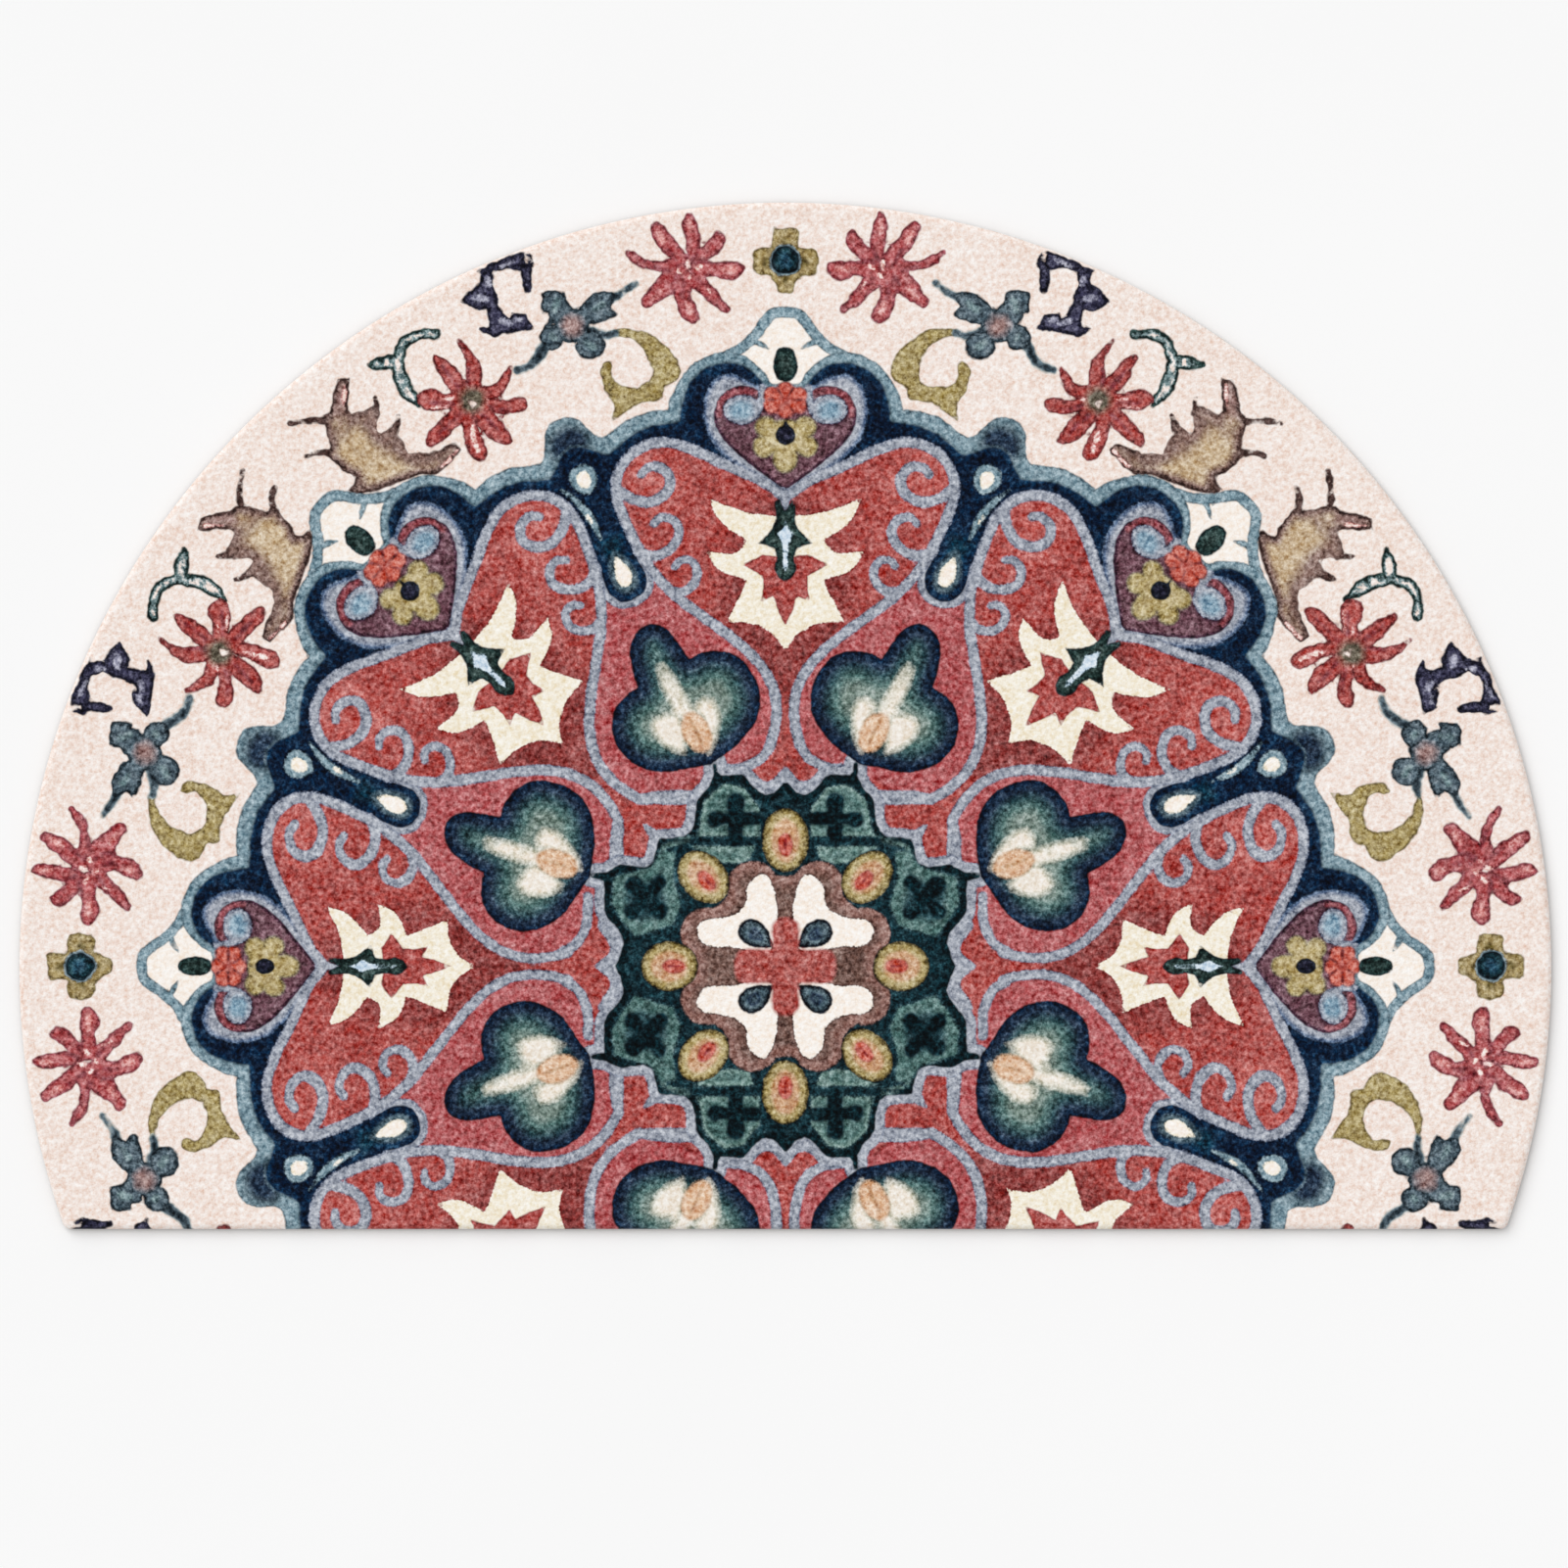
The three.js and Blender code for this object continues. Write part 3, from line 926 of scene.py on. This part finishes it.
def mat_mesh():
    """The mat's mesh, and the names of the dyes that reach each zone of the print."""
    rows = [(level, 0.0) for level in CUT_LEVELS]
    for step in range(ROLL_STEPS + 1):
        angle = math.pi / 2 * step / ROLL_STEPS
        rows.append((THICKNESS - ROLL_HEIGHT * (1 - math.sin(angle)), ROLL_INSET * (1 - math.cos(angle))))
    rings = [outline_at(inset) for _, inset in rows]
    count = len(rings[0])

    face_points = surface_points()
    under_points, _, _ = lattice(UNDER_PITCH)
    under_points = under_points[well_inside(under_points, UNDER_PITCH / 2)]
    plan = np.vstack(rings + [face_points, under_points])
    first_face = count * len(rows)
    first_under = first_face + len(face_points)
    top_ring = first_face - count
    height = np.zeros(len(plan))
    height[:first_face] = np.repeat([level for level, _ in rows], count)
    height[first_face:first_under] = THICKNESS

    faces = []
    for low in range(0, top_ring, count):
        high = low + count
        for i in range(count):
            j = (i + 1) % count
            faces.append((low + i, low + j, high + j, high + i))
    around = (np.arange(count)[:, None] + (0, 1, 1, 0)).ravel() / count
    top = triangulate(rings[-1], face_points)
    faces += [tuple(top_ring + i for i in face) for face in top]
    under = triangulate(rings[0], under_points)
    faces += [tuple(i if i < count else first_under + i - count for i in face[::-1]) for face in under]

    on_top = slice(top_ring, first_under)
    height[on_top] += nap(plan[on_top])
    mesh = bpy.data.meshes.new("mat_pile")
    points = np.column_stack([plan, height])
    mesh.from_pydata(points * MM, [], faces)
    mesh.polygons.foreach_set("use_smooth", np.ones(len(faces), bool))

    # Three dyes' distances go together into one attribute.
    folds = folded(plan)
    fields = {dye.name: dye_field(folds, dye) for dye in DYES}
    packed = np.stack([fields[dye.name] for dye in DYES] + [np.zeros(len(plan))] * (-len(DYES) % 3), axis=1)
    for first in range(0, packed.shape[1], 3):
        layer = mesh.attributes.new(f"dyes_{first // 3}", "FLOAT_VECTOR", "POINT")
        layer.data.foreach_set("vector", packed[:, first:first + 3].astype(np.float32).ravel())

    # Each face's material is its zone of the print, the cut side or the underside.
    zones = point_zones(plan, fields)
    kinds = np.asarray([max(zones[i] for i in face) for face in faces])
    kinds[:len(CUT_LEVELS) * count] = CUT_SIDE
    kinds[len(faces) - len(under):] = UNDERSIDE
    mesh.polygons.foreach_set("material_index", kinds)
    reached = []
    for zone in range(len(ZONES)):
        corners = np.unique([i for face, kind in zip(faces, kinds) if kind == zone for i in face[:3]])
        reached.append([dye for dye in DYES if fields[dye.name][corners].max() > -REACH])
    mesh.update()
    bake_layout(mesh, points, faces, kinds, np.tile(around, len(CUT_LEVELS)))
    return mesh, reached


# Materials


# Noises in the pile, as cells for each metre, detail and roughness
FRAY_NOISE = (700, 1, 0.5)
WAVER_NOISE = (140, 1, 0.5)
TUFT_NOISE = (350, 2, 0.8)
CLOUD_NOISE = (90, 2, 0.6)
STRENGTH_NOISE = (330, 2, 0.5)
NAP_NOISE = (560, 1, 0.7)

# How far they move an edge, in millimetres, or a tone
FRAY = 1.3
GRAIN = 1.5
CLOUDS = 0.9
STRENGTH = 0.5


def linear(name):
    """A palette colour as the renderer's linear values."""
    share = np.asarray(PALETTE[name]) / 255
    value = np.where(share <= 0.04045, share / 12.92, ((share + 0.055) / 1.055) ** 2.4)
    return (*value, 1.0)


class Nodes:
    """A material's node tree, with one short call for each node."""

    def __init__(self, name):
        self.material = bpy.data.materials.new(name)
        self.material.use_nodes = True
        self.tree = self.material.node_tree
        self.shader = self.tree.nodes["Principled BSDF"]
        self.place = self.add("TexCoord").outputs["Object"]

    def add(self, kind, inputs=(), **settings):
        node = self.tree.nodes.new("ShaderNode" + kind)
        for key, value in settings.items():
            setattr(node, key, value)
        for key, value in dict(inputs).items():
            self.set(node.inputs[key], value)
        return node

    def set(self, socket, value):
        if isinstance(value, bpy.types.NodeSocket):
            self.tree.links.new(value, socket)
        else:
            socket.default_value = value

    def math(self, operation, a, b=0.0, c=0.0, clamp=False):
        return self.add("Math", {0: a, 1: b, 2: c}, operation=operation, use_clamp=clamp).outputs[0]

    def noise(self, per_metre, detail, roughness=0.5, place=None):
        node = self.add("TexNoise", {
            "Vector": place or self.place, "Scale": per_metre, "Detail": detail, "Roughness": roughness,
        })
        return node.outputs["Fac"]

    def swing(self, noise_value, gain, middle=0.0):
        """A noise stretched by a gain about a middle value."""
        return self.math("MULTIPLY_ADD", noise_value, gain, middle - gain / 2)

    def mix(self, share, a, b, blend="MIX"):
        node = self.add("Mix", {0: share, 6: a, 7: b}, data_type="RGBA", blend_type=blend)
        return node.outputs[2]

    def ramp(self, depth, tones):
        """The colour at a depth inside a dye's edge."""
        names = tones.split()[::2]
        stops = [0.0, *map(float, tones.split()[1::2])]
        if len(names) == 1:
            return linear(tones)
        node = self.add("ValToRGB", {0: self.math("DIVIDE", depth, stops[-1])})
        band = node.color_ramp
        while len(band.elements) < len(names):
            band.elements.new(1.0)
        for element, stop, name in zip(band.elements, stops, names):
            element.position = stop / stops[-1]
            element.color = linear(name)
        return node.outputs["Color"]

    def finish(self, colour, bump_height, bump_depth, roughness, specular):
        """The finished material: a colour, bumps of a depth in metres, and the shader's gloss."""
        bump = self.add("Bump", {"Strength": 0.6, "Distance": bump_depth, "Height": bump_height})
        self.set(self.shader.inputs["Base Color"], colour)
        self.set(self.shader.inputs["Normal"], bump.outputs[0])
        self.shader.inputs["Roughness"].default_value = roughness
        self.shader.inputs["Specular IOR Level"].default_value = specular
        return self.material


def printed_pile(zone, waver, dyes):
    nodes = Nodes("pile_" + zone)

    # Fibres carry the dye a little over its edge, and the edge wavers.
    fray = nodes.swing(nodes.noise(*FRAY_NOISE), FRAY)
    drift = nodes.math("ADD", fray, nodes.swing(nodes.noise(*WAVER_NOISE), waver))
    colour = linear("ground")
    order = [dye.name for dye in DYES]
    packs = {}
    masks = {}
    for dye in dyes:
        pack, lane = divmod(order.index(dye.name), 3)
        if pack not in packs:
            distances = nodes.add("Attribute", attribute_name=f"dyes_{pack}").outputs["Vector"]
            packs[pack] = nodes.add("SeparateXYZ", {0: distances}).outputs
        frayed = nodes.math("ADD", packs[pack][lane], drift)
        mask = nodes.math("MULTIPLY_ADD", frayed, 0.5 / dye.soft, 0.5, clamp=True)
        if dye.within in masks:
            mask = nodes.math("MULTIPLY", mask, masks[dye.within])
        masks[dye.name] = mask
        colour = nodes.mix(mask, colour, nodes.ramp(frayed, dye.tones))

    # The dye took unevenly: grain from tuft to tuft, broad clouds, and fainter and stronger tufts.
    tufts = nodes.noise(*TUFT_NOISE)
    colour = nodes.mix(1.0, colour, nodes.swing(tufts, GRAIN, 0.5), "SOFT_LIGHT")
    clouds = nodes.swing(nodes.noise(*CLOUD_NOISE), CLOUDS)
    uneven = nodes.math("MAXIMUM", nodes.math("ADD", nodes.swing(tufts, -GRAIN, 1.03), clouds), 0.5)
    colour = nodes.add("Gamma", {"Color": colour, "Gamma": uneven}).outputs[0]
    strength = nodes.swing(nodes.noise(*STRENGTH_NOISE), STRENGTH, 1.0)
    colour = nodes.add("HueSaturation", {"Saturation": strength, "Color": colour}).outputs[0]

    nodes.shader.inputs["Sheen Weight"].default_value = 0.05
    nodes.shader.inputs["Sheen Roughness"].default_value = 0.6
    return nodes.finish(colour, nodes.noise(*NAP_NOISE), 0.8 * MM, roughness=0.95, specular=0.05)


def cut_side():
    """Undyed pile over a thin dark backing, seen where the mat was cut."""
    nodes = Nodes("cut_side")
    upright = nodes.add("Mapping", {"Vector": nodes.place, "Scale": (1, 1, 0.12)}).outputs[0]
    fibres = nodes.noise(900, 2, 0.6, upright)
    height = nodes.add("SeparateXYZ", {0: nodes.place}).outputs[2]
    backing, fade = 1.36, 0.4  # the backing's thickness and the blend over it, in millimetres
    pile_share = nodes.math("MULTIPLY_ADD", height, 1 / (fade * MM), -backing / fade, clamp=True)
    pile = nodes.mix(fibres, linear("pink"), linear("white"))
    colour = nodes.mix(pile_share, linear("moss"), pile)
    return nodes.finish(colour, fibres, 0.6 * MM, roughness=0.95, specular=0.1)


def woven_backing():
    nodes = Nodes("woven_backing")
    threads = {"Vector": nodes.place, "Scale": 160.0, "Distortion": 0.6, "Detail Scale": 2.0}
    weft = nodes.add("TexWave", threads, bands_direction="X").outputs["Fac"]
    warp = nodes.add("TexWave", threads, bands_direction="Y").outputs["Fac"]
    weave = nodes.math("MULTIPLY", weft, warp)
    tone = nodes.mix(nodes.noise(30, 3), linear("moss"), linear("leaf"))
    colour = nodes.mix(weave, tone, linear("cream"), "SOFT_LIGHT")
    return nodes.finish(colour, weave, 0.6 * MM, roughness=0.9, specular=0.2)


def pale_floor():
    nodes = Nodes("pale_floor")
    tone = nodes.mix(nodes.noise(3, 2), (0.94, 0.94, 0.94, 1), (0.97, 0.97, 0.97, 1))
    return nodes.finish(tone, nodes.noise(40, 1), 0.1 * MM, roughness=0.8, specular=0.1)


# The scene


def add_object(name, data):
    obj = bpy.data.objects.new(name, data)
    bpy.context.scene.collection.objects.link(obj)
    return obj


def add_floor():
    half = 12.0
    mesh = bpy.data.meshes.new("floor")
    corners = [(-half, -half, 0), (half, -half, 0), (half, half, 0), (-half, half, 0)]
    mesh.from_pydata(corners, [], [(0, 1, 2, 3)])
    mesh.materials.append(pale_floor())
    floor = add_object("floor", mesh)
    floor.location.z = -0.2 * MM  # clear of the mat's underside


def add_camera():
    """Straight over the mat, with a long lens, so that the picture shows it square on."""
    photo_width_mm = 920.4  # the width that the whole picture covers, at the mat
    aim = (-0.0008, -0.0401)
    lens, sensor = 200.0, 36.0
    data = bpy.data.cameras.new("camera")
    data.lens = lens
    data.sensor_width = sensor
    data.clip_end = 200.0
    camera = add_object("camera", data)
    camera.location = (*aim, HIGH[2] + photo_width_mm * MM * lens / sensor)
    bpy.context.scene.camera = camera


def add_lights():
    """An even white surround, and a broad soft light from over the round edge."""
    world = bpy.data.worlds.new("studio")
    world.use_nodes = True
    background = world.node_tree.nodes["Background"].inputs
    background["Color"].default_value = (1, 1, 1, 1)
    background["Strength"].default_value = 0.64
    bpy.context.scene.world = world
    data = bpy.data.lights.new("softbox", "SUN")
    data.angle = math.radians(50)
    data.energy = 1.42
    softbox = add_object("softbox", data)
    direction = Vector((1.3, -1.5, -2.4))
    softbox.rotation_euler = direction.to_track_quat("-Z", "Y").to_euler()


add_camera()
add_lights()
add_floor()
bpy.context.scene.view_settings.view_transform = "Standard"

mesh, reached = mat_mesh()
for zone, waver, dyes in zip(ZONES, WAVER, reached):
    mesh.materials.append(printed_pile(zone, waver, dyes))
mesh.materials.append(cut_side())
mesh.materials.append(woven_backing())
mat = add_object("mat_pile", mesh)
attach(mat, "root")
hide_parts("mat")
